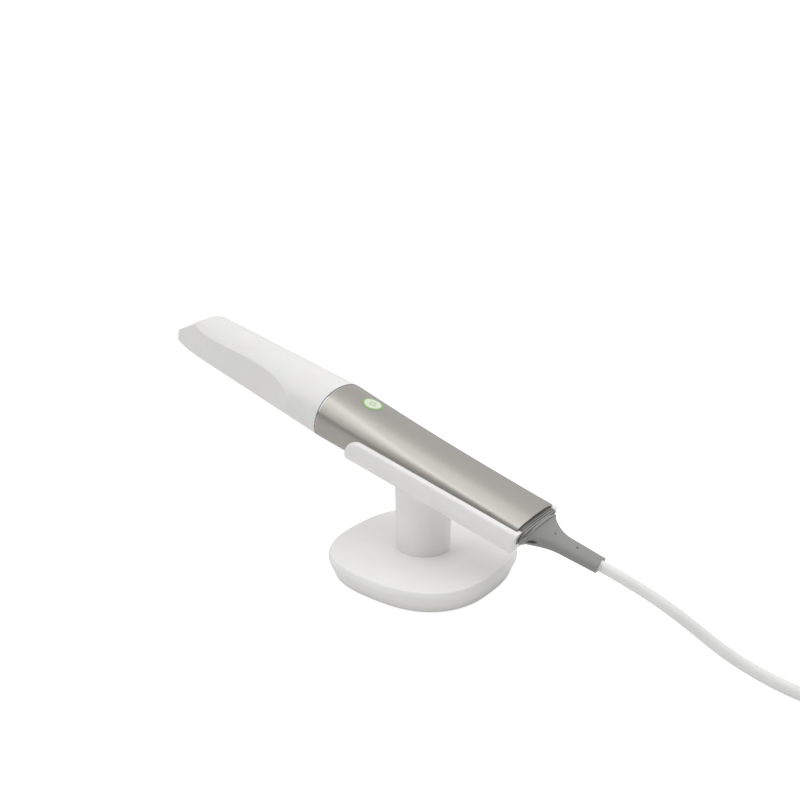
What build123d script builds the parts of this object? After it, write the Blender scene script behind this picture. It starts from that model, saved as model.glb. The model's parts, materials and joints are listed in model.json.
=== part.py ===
from build123d import *
from build123d.topology import SkipClean
import os
from math import atan, copysign, cos, degrees, pi, radians, sin, tan

# An intraoral scanner lying in its table cradle, in millimetres.
# World frame: +Z up, origin on the table under the middle of the post, +X towards the cable,
# so the mouth end of the scanner points along -X and upwards.
# The scanner's own frame: x along its centre line from the seam between tip and sleeve,
# positive towards the cable, y across, z square to the centre line.

os.makedirs("parts", exist_ok=True)

# How the scanner lies in its cradle
TILT = 14.3                # nose-up angle of the scanner's centre line, degrees
AXIS_HEIGHT = 70.2         # centre line above the table, over the post
SEAM_AHEAD = 66.9          # seam ahead of the post, along the centre line

# Metal sleeve
SLEEVE_LENGTH = 142.7      # along the widest line of its sides
SLEEVE_WALL = 1.6
SEAM_HALF_WIDTH = 22.8
TAIL_HALF_WIDTH = 20.6
SEAM_TOP = 18.8            # top of the sleeve above the centre line, at the seam
TAIL_TOP = 5.4             # the same at the tail
TOP_SAG = 0.9              # how far the top line dips below a straight line
KEEL_DEPTH = 15.0          # flat belly below the centre line
WIDEST_HEIGHT = 0.5        # height of the widest line of the section
CROWN_POWER = 2.1          # roundness of the upper half: 2 is an ellipse
KEEL_POWER = 3.0           # the lower half is squarer
TAIL_LEAN = 14.0           # the tail end is cut off with its top overhanging, degrees
OUTLINE_POINTS = 16        # of each section, on a closed curve

# Mouth tip
TIP_LENGTH = 155.4
TIP_WALL = 1.8
TIP_GAP = 0.5              # dark gap between the tip and the trim ring
SHOULDER_X = 128.0         # where the back of the tip starts to slope, ahead of the seam
SHOULDER_HALF_WIDTH = 20.6
SHOULDER_KEEL = 8.8
SHOULDER_WIDEST = 2.0
TIP_END_HALF_WIDTH = 10.0
TIP_END_TOP = 0.6
TIP_END_KEEL = 9.3
TIP_END_WIDEST = -3.5
TIP_END_ROUND = 5.0        # where the sloping front meets the end
RELIEF_REAR_X = 22.5       # where the flat side of the tip runs out, ahead of the seam
RELIEF_RISE = 25.5         # length of the concave run-out
RELIEF_REAR_HALF = 18.3    # half width between the flat sides, at the run-out
RELIEF_MIDDLE_HALF = 17.3
RELIEF_SHOULDER_HALF = 15.3
RELIEF_END_HALF = 7.2
RELIEF_BOW = 0.4           # the flat sides bow out a little between shoulder and end
RELIEF_OVERSHOOT = 1.2     # the run-out ends this far outside the seam's width
MIRROR_LOW_X = 152.0       # lower end of the mirror, ahead of the seam
MIRROR_ANGLE = 43.0        # mirror against the centre line, degrees
MIRROR_THICKNESS = 1.1
MIRROR_CLEARANCE = 0.25
MIRROR_REACH = 20.0        # the mirror's upper end lies within this of the shoulder
WINDOW_LENGTH = 17.0
WINDOW_WIDTH = 14.0
WINDOW_FRONT_X = 148.0
WINDOW_CORNER = 2.5

# Nose that the tip slides onto
NOSE_LENGTH = 46.0
NOSE_WALL = 1.8
NOSE_CLEARANCE = 0.35
NOSE_FRONT_WALL = 2.6
NOSE_PLUG = 12.0           # length of the nose inside the sleeve
PLUG_CLEARANCE = 0.15
GLASS_WIDTH = 22.0
GLASS_HEIGHT = 11.0
GLASS_THICKNESS = 1.4
GLASS_LEDGE = 1.5
GLASS_Z = -1.0
GLASS_GAP = 0.1
RING_THICKNESS = 1.0       # bright trim ring between tip and sleeve
RING_INSET = 0.45
SEAL_X = 20.0              # rubber seal on the nose, ahead of the seam
SEAL_WIDTH = 2.0
SEAL_DEPTH = 1.0
SEAL_GAP = 0.1

# Power button on top of the sleeve
BUTTON_X = 22.8
BUTTON_RADIUS = 5.5
BUTTON_THICKNESS = 2.4
BUTTON_PROUD = 0.35
BUTTON_TRAVEL = 0.7
BUTTON_STEM_RADIUS = 1.5
LIGHT_RING_GAP = 0.2
LIGHT_RING_WIDTH = 1.1
LIGHT_RING_PROUD = 0.1
SLEEVE_HOLE_GAP = 0.15
SWITCH_SIZE = 4.0
SWITCH_HEIGHT = 1.3
SWITCH_GAP = 0.05          # left between stem and switch when pressed
BUTTON_BOARD_DEPTH = 4.4   # top of the button board below the sleeve's surface
BUTTON_BOARD_THICKNESS = 1.0
BUTTON_BOARD_LENGTH = 17.0
BUTTON_BOARD_WIDTH = 15.0
BRIDGE_PLATE = 2.0
BRIDGE_LEG = 2.3

# Optical bench and what stands on it
BENCH_FRONT_X = -28.0
BENCH_REAR_X = 118.0
BENCH_HALF_WIDTH = 11.5
BENCH_UNDER = -8.4
BENCH_THICKNESS = 2.0
PAD_LENGTH = 9.0           # screwed pads under both ends of the bench
PAD_FRONT_X = 0.5
PAD_INNER = 5.0
PAD_OUTER = 10.0
PAD_INSET = 3.0
SCREW_RADIUS = 1.0
SCREW_HEAD_RADIUS = 1.9
SCREW_HEAD_HEIGHT = 1.3
SCREW_GRIP = 3.0
SCREW_HOLE_GAP = 0.1
PROJECTOR_LENGTH = 36.0
PROJECTOR_HALF_WIDTH = 4.6
PROJECTOR_HEIGHT = 9.6
PROJECTOR_FRONT_X = -18.0
PROJECTOR_BARREL_LENGTH = 9.0
PROJECTOR_BARREL_RADIUS = 4.0
CAMERA_LENGTH = 16.0
CAMERA_WIDTH = 5.8
CAMERA_HEIGHT = 7.2
CAMERA_SPACING = 8.0       # middle of each camera from the centre line
CAMERA_FRONT_X = -22.0
CAMERA_BARREL_LENGTH = 6.0
CAMERA_BARREL_RADIUS = 2.5
LENS_THICKNESS = 1.6
LENS_RIM = 0.5
LENS_RECESS = 0.2
LENS_GAP = 0.05
BOARD_FRONT_X = 46.0
BOARD_REAR_X = 112.0
BOARD_HALF_WIDTH = 13.0
BOARD_THICKNESS = 1.4
BOARD_LIFT = 2.6           # board above the bench
STANDOFF_RADIUS = 2.0
STANDOFF_INSET = 4.0
CHIP_LENGTH = 15.0
CHIP_HEIGHT = 1.2
CHIP_X = 75.5              # middle of the processor and its heat sink
SINK_LENGTH = 32.0
SINK_HALF_WIDTH = 10.0
SINK_BASE = 1.0
SINK_FIN_HEIGHT = 4.2
SINK_FIN_THICKNESS = 1.0
SINK_FINS = 7
SOCKET_LENGTH = 9.0
SOCKET_HALF_WIDTH = 4.5
SOCKET_HEIGHT = 4.0
INNER_LEAD_RADIUS = 1.6
INNER_LEAD_BEND = 5.0

# Tail cap and cable boot
CAP_PLUG = 9.0             # length of the cap inside the sleeve
CAP_REACH = 4.4            # ribbed collar behind the sleeve
CAP_INSET = 2.5            # collar below the sleeve's outline
RIB_DEPTH = 0.8
RIB_START = 1.0            # the first rib behind the sleeve's end
RIB_PITCH = 1.2
RIB_WIDTH = 0.7
CAP_RIBS = 3
CAP_WALL = 1.8
SPIGOT_HALF_WIDTH = 7.0
SPIGOT_HALF_HEIGHT = 3.6
SPIGOT_LENGTH = 7.0
SPIGOT_GAP = 0.1
FLANGE_THICKNESS = 1.6
FLANGE_HALF_WIDTH = 19.9
FLANGE_HALF_HEIGHT = 7.6
FLANGE_AXIS = -4.2
FLANGE_POWER = 1.6         # a lens, where 2 is an ellipse
FLANGE_EDGE = 0.6
FLANGE_STEP = 0.7          # the boot's flare starts inside the flange's edge
FLARE_STEPS = 4
BOOT_FLARE = 2.2           # how fast the flare closes in
BOOT_POWER = 2.4           # a flat oval at the cable's end
BOOT_END_X = 183.8
BOOT_END_HALF_WIDTH = 6.2
BOOT_END_HALF_HEIGHT = 3.4
BOOT_NECK_X = 165.0
BOOT_NECK_HALF_WIDTH = 7.0
BOOT_NECK_HALF_HEIGHT = 3.9
BOOT_AXIS = -5.3           # boot centre below the scanner's centre line
BOOT_DIMPLE_RADIUS = 0.6
BOOT_DIMPLE_DEPTH = 0.8
BOOT_DIMPLES = [(156.8, -1.7, -0.4), (170.2, -1.8, -1.5)]
NOTCH_X = 150.4
NOTCH_Z = -4.2
NOTCH_LENGTH = 4.6
NOTCH_HEIGHT = 1.9
NOTCH_FLOOR = 12.4         # floor of the oval notches from the middle plane

# Cradle
CRADLE_CLEARANCE = 0.25
CRADLE_WALL = 3.0
CRADLE_FRONT_LOW_X = 20.5
CRADLE_FRONT_TOP_X = 29.5
CRADLE_TOP_FRONT = 1.9
CRADLE_TOP_REAR = 0.6
CRADLE_FRONT_CORNER = 10.0
CRADLE_EDGE = 2.0          # rounded upper edge of the walls, on the outside
CRADLE_REAR_REACH = 2.4    # rear lip behind the end of the sleeve
LIP_INSET = 2.0            # rear lip over the end of the sleeve
LIP_CLEARANCE = 0.25
POST_FOOT_RADIUS = 16.5
POST_TOP_RADIUS = 17.6     # at the height of the centre line
POST_BLEND = 5.0           # rounding between post and trough
POST_WALL = 2.6
POST_ROOF = 3.6
POST_TOP = -12.0           # top of the post inside the trough's walls, from the centre line
POST_BOSS_RADIUS = 2.8
POST_BOSS_CIRCLE = 11.2
POST_BOSS_HEIGHT = 14.0
POST_SCREWS = 3

# Base
BASE_HALF = 52.4           # to the crease round its top
BASE_POWER = 2.58          # rounded square outline
BASE_BULGE = 1.4           # widest line outside the crease
BASE_BULGE_DROP = 3.3      # widest line below the crease
BASE_FOOT_INSET = 2.4      # lower edge inside the crease
BASE_TOP = 13.6            # crease above the table
BASE_DOME = 0.9            # middle of the top above the crease
BASE_WALL = 2.2
BASE_FOOT_GAP = 0.5        # lower edge above the table
BASE_BULGE_ROUND = 1.2     # the rounding of the widest line starts this far above and below it
BASE_CREASE_ROUND = 0.8    # the same for the crease
BASE_ROUND_STEPS = 3
SEAT_DEPTH = 0.5           # round recess that the post stands in
SEAT_GAP = 0.25
HUB_RADIUS = 14.0
WEIGHT_INSET = 9.4         # edge of the weight inside the crease
WEIGHT_THICKNESS = 6.3
WEIGHT_LOW = 3.0
PLATE_GAP = 0.25
FOOT_PAD_INSET = 14.4      # edge of the pad inside the crease
FOOT_PAD_RECESS = 0.7
FOOT_PAD_GAP = 0.25
POST_SCREW_RADIUS = 1.4
POST_SCREW_HEAD_RADIUS = 2.7
POST_SCREW_HEAD_HEIGHT = 1.8
POST_SCREW_GRIP = 8.0

# Cable, 2 m long, most of it wound behind the stand
CABLE_RADIUS = 3.15
CABLE_FLOOR = 3.2          # centre of the cable where it lies on the table
ARC_SHARE = 0.45           # share of a straight run that each bend beside it takes up
FREE_RUN = 21.5            # straight out of the boot
CABLE_POINTS = [(155, 0.5, 21.6), (178, 1.2, 9), (201, 1, CABLE_FLOOR), (224, 0, CABLE_FLOOR)]
COIL_CENTRE_X = 286.0
COIL_INNER_TURN = 28.0     # radius of the innermost turn
COIL_TURNS_ACROSS = 4
COIL_PITCH = 6.5
COIL_LAYERS = 2
COIL_STUB = 39.5           # straight lead into the coil
COIL_SLACK = 0.4           # outside of the wound turns beyond the cable itself
COIL_EDGE = 2.6            # rounding of the coil's edges
ROLL_DOWN = 60.0           # arc over which the last turn comes down, degrees
PLUG_LENGTH = 30.0
PLUG_WIDTH = 15.6
PLUG_HEIGHT = 7.6
PLUG_RELIEF = 20.0
PLUG_TAIL = 14.0
PLUG_CORNER = 1.2
CONTACT_LENGTH = 14.0
CONTACT_WIDTH = 12.0
CONTACT_HEIGHT = 4.5
CONTACT_WALL = 0.5
TONGUE_GAP = 0.1

REACH = 60.0               # half size of the cutting blocks
PAST = 1.0                 # how far a cutting form reaches past what it cuts
TAIL_MARGIN = 8.0          # the same past the sleeve's leaning end


def blend(start, end, share):
    return start + (end - start) * share


def power_curve(x, half_width, top, bottom, middle, crown, keel):
    """Closed section across the scanner: two half superellipses that meet at the widest line."""
    points = []
    for i in range(OUTLINE_POINTS):
        turn = 2 * pi * i / OUTLINE_POINTS - pi / 2
        across, up = cos(turn), sin(turn)
        power = crown if up >= 0 else keel
        reach = top - middle if up >= 0 else middle - bottom
        y = half_width * copysign(abs(across) ** (2 / power), across)
        z = middle + reach * copysign(abs(up) ** (2 / power), up)
        points.append(Vector(x, y, z))
    return Face(Wire([Edge.make_spline(points, periodic=True)]))


def sleeve_top(x):
    """Height of the sleeve's top line at x."""
    share = x / SLEEVE_LENGTH
    return blend(SEAM_TOP, TAIL_TOP, share) - TOP_SAG * 4 * share * (1 - share)


def sleeve_half_width(x):
    return blend(SEAM_HALF_WIDTH, TAIL_HALF_WIDTH, x / SLEEVE_LENGTH)


def sleeve_section(x, inset):
    """Section of the sleeve's outside at x, drawn in by inset."""
    return power_curve(x, sleeve_half_width(x) - inset, sleeve_top(x) - inset, inset - KEEL_DEPTH,
                       WIDEST_HEIGHT, CROWN_POWER, KEEL_POWER)


def sleeve_form(inset, start, end):
    """Solid in the sleeve's form, drawn in by inset, from start to end."""
    steps = 4
    return loft([sleeve_section(blend(start, end, i / steps), inset) for i in range(steps + 1)])


def tip_section(x, inset):
    """Section of the tip's outside, x mm ahead of the seam, before its sides are cut flat."""
    if x <= SHOULDER_X:
        share = x / SHOULDER_X
        return power_curve(-x, blend(SEAM_HALF_WIDTH, SHOULDER_HALF_WIDTH, share) - inset,
                           SEAM_TOP - inset, inset - blend(KEEL_DEPTH, SHOULDER_KEEL, share),
                           blend(WIDEST_HEIGHT, SHOULDER_WIDEST, share), CROWN_POWER, KEEL_POWER)
    share = (x - SHOULDER_X) / (TIP_LENGTH - SHOULDER_X)
    return power_curve(-x, blend(SHOULDER_HALF_WIDTH, TIP_END_HALF_WIDTH, share ** 1.5) - inset,
                       blend(SEAM_TOP, TIP_END_TOP, share) - inset,
                       inset - blend(SHOULDER_KEEL, TIP_END_KEEL, share),
                       blend(SHOULDER_WIDEST, TIP_END_WIDEST, share), CROWN_POWER, KEEL_POWER)


def prism(points, direction, start, end):
    """Straight prism on a closed outline of points in a plane square to direction."""
    along = Vector(*direction)
    outline = Polyline(*[Vector(*p) + along * start for p in points], close=True)
    return extrude(make_face(outline), amount=end - start, dir=along)


def side_prism(points, half_width=REACH):
    """Prism across the scanner on an outline of (x, z) points."""
    return prism([(x, 0, z) for x, z in points], (0, 1, 0), -half_width, half_width)


def block(x, y, z):
    """Box between two values along each axis."""
    middle = Pos((x[0] + x[1]) / 2, (y[0] + y[1]) / 2, (z[0] + z[1]) / 2)
    return middle * Box(x[1] - x[0], y[1] - y[0], z[1] - z[0])


def rod(radius, start, end):
    """Round rod from start to end."""
    start, end = Vector(*start), Vector(*end)
    return extrude(Plane(origin=start, z_dir=end - start) * Circle(radius), amount=(end - start).length)


def side_relief(inset, side):
    """What is cut away to make one side of the tip flat, with its concave run-out at the rear."""
    front, rear = -TIP_LENGTH - PAST, inset - RELIEF_REAR_X
    flat_end = rear - RELIEF_RISE
    between = blend(RELIEF_END_HALF, RELIEF_SHOULDER_HALF, 0.5) + RELIEF_BOW
    rear_half = SEAM_HALF_WIDTH + RELIEF_OVERSHOOT
    line = Spline((front, side * (RELIEF_END_HALF - inset), 0),
                  ((front - SHOULDER_X) / 2, side * (between - inset), 0),
                  (-SHOULDER_X, side * (RELIEF_SHOULDER_HALF - inset), 0),
                  ((flat_end - SHOULDER_X) / 2, side * (RELIEF_MIDDLE_HALF - inset), 0),
                  (flat_end, side * (RELIEF_REAR_HALF - inset), 0),
                  (rear, side * rear_half, 0))
    corners = Polyline((rear, side * rear_half, 0), (rear, side * REACH, 0),
                       (front, side * REACH, 0), (front, side * (RELIEF_END_HALF - inset), 0))
    return Pos(0, 0, -REACH) * extrude(make_face([line, corners]), amount=2 * REACH, dir=(0, 0, 1))


def tip_form(inset, back, front):
    """Solid in the tip's form, drawn in by inset, between two distances ahead of the seam."""
    end = min(front, SHOULDER_X)
    form = loft([tip_section(blend(back, end, i / 3), inset) for i in range(4)])
    if front > SHOULDER_X:
        form += loft([tip_section(blend(SHOULDER_X, front, i / 4), inset) for i in range(5)])
    for side in (-1, 1):
        form -= side_relief(inset, side)
    return form


def end_corner():
    """What is cut away to round the tip where its sloping front meets the end."""
    slope = atan((SEAM_TOP - TIP_END_TOP) / (TIP_LENGTH - SHOULDER_X))
    along = TIP_END_ROUND * tan((pi / 2 - slope) / 2)
    corner = (-TIP_LENGTH, TIP_END_TOP)
    centre = (TIP_END_ROUND - TIP_LENGTH, TIP_END_TOP - along)
    on_slope = (along * cos(slope) - TIP_LENGTH, TIP_END_TOP + along * sin(slope))
    outside = (-TIP_LENGTH - PAST, TIP_END_TOP - along)
    above = (on_slope[0], on_slope[1] + PAST)
    wedge = side_prism([centre, outside, (-TIP_LENGTH - PAST, corner[1] + PAST), above, on_slope])
    return wedge - rod(TIP_END_ROUND, (centre[0], -REACH, centre[1]), (centre[0], REACH, centre[1]))


def mirror_line(offset):
    """Two far points (x, z) on the mirror's plane, moved back by offset square to it."""
    angle = radians(MIRROR_ANGLE)
    foot = (-MIRROR_LOW_X - offset * sin(angle), TIP_WALL - TIP_END_KEEL + offset * cos(angle))
    return [(foot[0] + r * cos(angle), foot[1] + r * sin(angle)) for r in (-REACH, REACH)]


def behind_mirror(offset):
    """Everything on the far side of the mirror's plane."""
    low, high = mirror_line(offset)
    return side_prism([low, high, (high[0] - 2 * REACH, high[1]), (low[0] - 2 * REACH, low[1])])


def tip_shell():
    shell = tip_form(0, RING_THICKNESS + TIP_GAP, TIP_LENGTH)
    hollow = tip_form(TIP_WALL, 0, TIP_LENGTH - TIP_WALL) - behind_mirror(0)
    window = Pos(-WINDOW_FRONT_X + WINDOW_LENGTH / 2, 0, -REACH) * extrude(
        RectangleRounded(WINDOW_LENGTH, WINDOW_WIDTH, WINDOW_CORNER), amount=REACH)
    return shell - hollow - window - end_corner()


def tip_mirror():
    inset = TIP_WALL + MIRROR_CLEARANCE
    form = tip_form(inset, SHOULDER_X - MIRROR_REACH, TIP_LENGTH - inset)
    return form - behind_mirror(0) & behind_mirror(-MIRROR_THICKNESS)


def sleeve_shell():
    outside = sleeve_form(0, 0, SLEEVE_LENGTH + TAIL_MARGIN)
    inside = sleeve_form(SLEEVE_WALL, -PAST, SLEEVE_LENGTH + TAIL_MARGIN + PAST)
    button = rod(ring_outer + SLEEVE_HOLE_GAP, (0, 0, -BUTTON_BOARD_DEPTH), (0, 0, BUTTON_BOARD_DEPTH))
    return outside - inside - behind_tail(0) - button_place * button


def behind_tail(offset):
    """Everything behind the leaning end of the sleeve, moved back by offset."""
    x, lean = SLEEVE_LENGTH + offset, tan(radians(TAIL_LEAN))
    low, high = (x + lean * (-REACH - WIDEST_HEIGHT), -REACH), (x + lean * (REACH - WIDEST_HEIGHT), REACH)
    return side_prism([low, high, (x + 2 * REACH, REACH), (x + 2 * REACH, -REACH)])


def tail_slice(inset, start, end):
    """Leaning slice in the sleeve's form, drawn in by inset, between two offsets behind the sleeve's end."""
    form = sleeve_form(inset, SLEEVE_LENGTH + start - TAIL_MARGIN, SLEEVE_LENGTH + end + TAIL_MARGIN)
    return (form & behind_tail(start)) - behind_tail(end)


button_drop = sleeve_top(BUTTON_X - BUTTON_RADIUS) - sleeve_top(BUTTON_X + BUTTON_RADIUS)
top_slope = button_drop / (2 * BUTTON_RADIUS)
button_place = Pos(BUTTON_X, 0, sleeve_top(BUTTON_X)) * Rot(0, degrees(atan(top_slope)), 0)
rest = Pos(0, 0, AXIS_HEIGHT) * Rot(0, TILT, 0) * Pos(-SEAM_AHEAD, 0, 0)

nose_inset = TIP_WALL + NOSE_CLEARANCE
plug_inset = SLEEVE_WALL + PLUG_CLEARANCE
tail_lean = tan(radians(TAIL_LEAN))
bench_top = BENCH_UNDER + BENCH_THICKNESS
front_pad_x = (PAD_FRONT_X, PAD_FRONT_X + PAD_LENGTH)
rear_pad_x = (BENCH_REAR_X - PAD_LENGTH, BENCH_REAR_X)
bench_screw_places = [(sum(pad) / 2, side * (PAD_INNER + PAD_OUTER) / 2)
                      for pad in (front_pad_x, rear_pad_x) for side in (-1, 1)]


def bench_pads(start, end):
    """Pair of pads under the bench, rising from the floor of the sleeve."""
    pads = block((start, end), (PAD_INNER, PAD_OUTER), (PAD_INSET - KEEL_DEPTH, BENCH_UNDER))
    return pads + block((start, end), (-PAD_OUTER, -PAD_INNER), (PAD_INSET - KEEL_DEPTH, BENCH_UNDER))


def bench_screw_holes():
    low = BENCH_UNDER - SCREW_GRIP - SCREW_HOLE_GAP
    return [rod(SCREW_RADIUS + SCREW_HOLE_GAP, (x, y, low), (x, y, bench_top + PAST))
            for x, y in bench_screw_places]


def trim_ring():
    outside = extrude(sleeve_section(0, RING_INSET), amount=RING_THICKNESS, dir=(-1, 0, 0))
    inside = extrude(tip_section(0, nose_inset - NOSE_CLEARANCE / 2), amount=RING_THICKNESS, dir=(-1, 0, 0))
    return outside - inside


def nose_barrel():
    """Nose that carries the tip, with the plug that fits the sleeve and the front pads of the bench."""
    nose = tip_form(nose_inset, 0, NOSE_LENGTH) + sleeve_form(plug_inset, 0, NOSE_PLUG)
    hollow = tip_form(nose_inset + NOSE_WALL, 0, NOSE_LENGTH - NOSE_FRONT_WALL)
    plug_hollow = sleeve_form(plug_inset + NOSE_WALL, 0, NOSE_PLUG)
    groove = tip_form(nose_inset - PAST, SEAL_X, SEAL_X + SEAL_WIDTH)
    groove -= tip_form(nose_inset + SEAL_DEPTH, SEAL_X - PAST, SEAL_X + SEAL_WIDTH + PAST)
    window = glass_block(0, NOSE_LENGTH + PAST, NOSE_LENGTH - NOSE_FRONT_WALL - PAST)
    seat = glass_block(GLASS_LEDGE, NOSE_LENGTH + PAST, NOSE_LENGTH - GLASS_THICKNESS)
    nose = nose - hollow - plug_hollow - groove - window - seat
    return nose + bench_pads(*front_pad_x) - bench_screw_holes()


def glass_block(margin, front, back):
    """Block as high and wide as the nose's window and margin, between two distances ahead of the seam."""
    half_width, half_height = GLASS_WIDTH / 2 + margin, GLASS_HEIGHT / 2 + margin
    return block((-front, -back), (-half_width, half_width), (GLASS_Z - half_height, GLASS_Z + half_height))


def nose_glass():
    return glass_block(GLASS_LEDGE - GLASS_GAP, NOSE_LENGTH - GLASS_GAP, NOSE_LENGTH - GLASS_THICKNESS)


def nose_seal():
    ring = tip_form(nose_inset - NOSE_CLEARANCE / 2, SEAL_X + SEAL_GAP, SEAL_X + SEAL_WIDTH - SEAL_GAP)
    return ring - tip_form(nose_inset + SEAL_DEPTH - SEAL_GAP / 2, SEAL_X - PAST, SEAL_X + SEAL_WIDTH + PAST)


board_top = -BUTTON_BOARD_DEPTH
ring_inner = BUTTON_RADIUS + LIGHT_RING_GAP
ring_outer = ring_inner + LIGHT_RING_WIDTH


def button_cap():
    stem_end = board_top + SWITCH_HEIGHT + BUTTON_TRAVEL + SWITCH_GAP
    cap = button_place * rod(BUTTON_RADIUS, (0, 0, BUTTON_PROUD - BUTTON_THICKNESS), (0, 0, BUTTON_THICKNESS))
    cap &= sleeve_form(-BUTTON_PROUD, BUTTON_X - 2 * BUTTON_RADIUS, BUTTON_X + 2 * BUTTON_RADIUS)
    stem_root = BUTTON_PROUD - BUTTON_THICKNESS / 2
    return cap + button_place * rod(BUTTON_STEM_RADIUS, (0, 0, stem_end), (0, 0, stem_root))


def light_ring():
    low, high = (0, 0, board_top), (0, 0, BUTTON_THICKNESS)
    ring = button_place * (rod(ring_outer, low, high) - rod(ring_inner, low, high))
    return ring & sleeve_form(-LIGHT_RING_PROUD, BUTTON_X - 2 * ring_outer, BUTTON_X + 2 * ring_outer)


def button_board():
    half_x, half_y = BUTTON_BOARD_LENGTH / 2, BUTTON_BOARD_WIDTH / 2
    thickness = (board_top - BUTTON_BOARD_THICKNESS, board_top)
    return button_place * block((-half_x, half_x), (-half_y, half_y), thickness)


def button_switch():
    half = SWITCH_SIZE / 2
    return button_place * block((-half, half), (-half, half), (board_top, board_top + SWITCH_HEIGHT))


def button_bridge():
    """Bridge that carries the button board over the projector, its four legs on the bench."""
    top = board_top - BUTTON_BOARD_THICKNESS
    half_x, half_y = BUTTON_BOARD_LENGTH / 2, BUTTON_BOARD_WIDTH / 2
    bridge = block((-half_x, half_x), (-half_y, half_y), (top - BRIDGE_PLATE, top))
    for x in (-half_x, half_x - BRIDGE_LEG):
        for y in (-half_y, half_y - BRIDGE_LEG):
            bridge += block((x, x + BRIDGE_LEG), (y, y + BRIDGE_LEG), (-REACH / 2, top - BRIDGE_PLATE / 2))
    return button_place * bridge - block((-REACH, REACH), (-REACH, REACH), (-2 * REACH, bench_top))


board_under = bench_top + BOARD_LIFT
board_upper = board_under + BOARD_THICKNESS
board_screw_places = [(x, y) for x in (BOARD_FRONT_X + STANDOFF_INSET, BOARD_REAR_X - STANDOFF_INSET)
                      for y in (STANDOFF_INSET - BOARD_HALF_WIDTH, BOARD_HALF_WIDTH - STANDOFF_INSET)]


def board_screw_holes():
    radius, low, high = SCREW_RADIUS + SCREW_HOLE_GAP, BENCH_UNDER - PAST, board_upper + PAST
    return [rod(radius, (x, y, low), (x, y, high)) for x, y in board_screw_places]


def optical_bench():
    """Metal plate that carries the optics and, on four standoffs, the main board."""
    bench = block((BENCH_FRONT_X, BENCH_REAR_X), (-BENCH_HALF_WIDTH, BENCH_HALF_WIDTH),
                  (BENCH_UNDER, bench_top))
    for x, y in board_screw_places:
        bench += rod(STANDOFF_RADIUS, (x, y, bench_top - BENCH_THICKNESS / 2), (x, y, board_under))
    return bench - bench_screw_holes() - board_screw_holes()


def screw(x, y, seat, grip, radius, head_radius, head_height):
    """Pan-head screw with its head on seat and its shank going down."""
    shank = rod(radius, (x, y, seat - grip), (x, y, seat + head_height / 2))
    return shank + rod(head_radius, (x, y, seat), (x, y, seat + head_height))


def small_screw(place, seat, grip):
    return screw(*place, seat, grip, SCREW_RADIUS, SCREW_HEAD_RADIUS, SCREW_HEAD_HEIGHT)


def optical_module(x, y, size, barrel_length, barrel_radius):
    """Housing on the bench with a round lens barrel ahead of it, bored for its lens."""
    length, width, height = size
    z = bench_top + height / 2
    module = block((x, x + length), (y - width / 2, y + width / 2), (bench_top, bench_top + height))
    module += rod(barrel_radius, (x - barrel_length, y, z), (x + length / 2, y, z))
    bore_end = x - barrel_length + LENS_THICKNESS + LENS_RECESS
    return module - rod(barrel_radius - LENS_RIM, (x - barrel_length - PAST, y, z), (bore_end, y, z))


def module_lens(x, y, height, barrel_length, barrel_radius):
    z = bench_top + height / 2
    front = x - barrel_length + LENS_RECESS
    return rod(barrel_radius - LENS_RIM - LENS_GAP, (front, y, z), (front + LENS_THICKNESS, y, z))


def projector():
    size = (PROJECTOR_LENGTH, 2 * PROJECTOR_HALF_WIDTH, PROJECTOR_HEIGHT)
    return optical_module(PROJECTOR_FRONT_X, 0, size, PROJECTOR_BARREL_LENGTH, PROJECTOR_BARREL_RADIUS)


def projector_lens():
    return module_lens(PROJECTOR_FRONT_X, 0, PROJECTOR_HEIGHT, PROJECTOR_BARREL_LENGTH,
                       PROJECTOR_BARREL_RADIUS)


def camera(side):
    y, size = side * CAMERA_SPACING, (CAMERA_LENGTH, CAMERA_WIDTH, CAMERA_HEIGHT)
    return optical_module(CAMERA_FRONT_X, y, size, CAMERA_BARREL_LENGTH, CAMERA_BARREL_RADIUS)


def camera_lens(side):
    y = side * CAMERA_SPACING
    return module_lens(CAMERA_FRONT_X, y, CAMERA_HEIGHT, CAMERA_BARREL_LENGTH, CAMERA_BARREL_RADIUS)


def main_board():
    board = block((BOARD_FRONT_X, BOARD_REAR_X), (-BOARD_HALF_WIDTH, BOARD_HALF_WIDTH),
                  (board_under, board_upper))
    return board - board_screw_holes()


def processor_chip():
    half = CHIP_LENGTH / 2
    return block((CHIP_X - half, CHIP_X + half), (-half, half), (board_upper, board_upper + CHIP_HEIGHT))


def heat_sink():
    """Finned heat sink lying on the processor."""
    length = (CHIP_X - SINK_LENGTH / 2, CHIP_X + SINK_LENGTH / 2)
    low = board_upper + CHIP_HEIGHT
    sink = block(length, (-SINK_HALF_WIDTH, SINK_HALF_WIDTH), (low, low + SINK_BASE))
    for i in range(SINK_FINS):
        y = blend(-SINK_HALF_WIDTH, SINK_HALF_WIDTH - SINK_FIN_THICKNESS, i / (SINK_FINS - 1))
        sink += block(length, (y, y + SINK_FIN_THICKNESS), (low, low + SINK_BASE + SINK_FIN_HEIGHT))
    return sink


def cable_socket():
    return block((BOARD_REAR_X - SOCKET_LENGTH, BOARD_REAR_X), (-SOCKET_HALF_WIDTH, SOCKET_HALF_WIDTH),
                 (board_upper, board_upper + SOCKET_HEIGHT))


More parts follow.
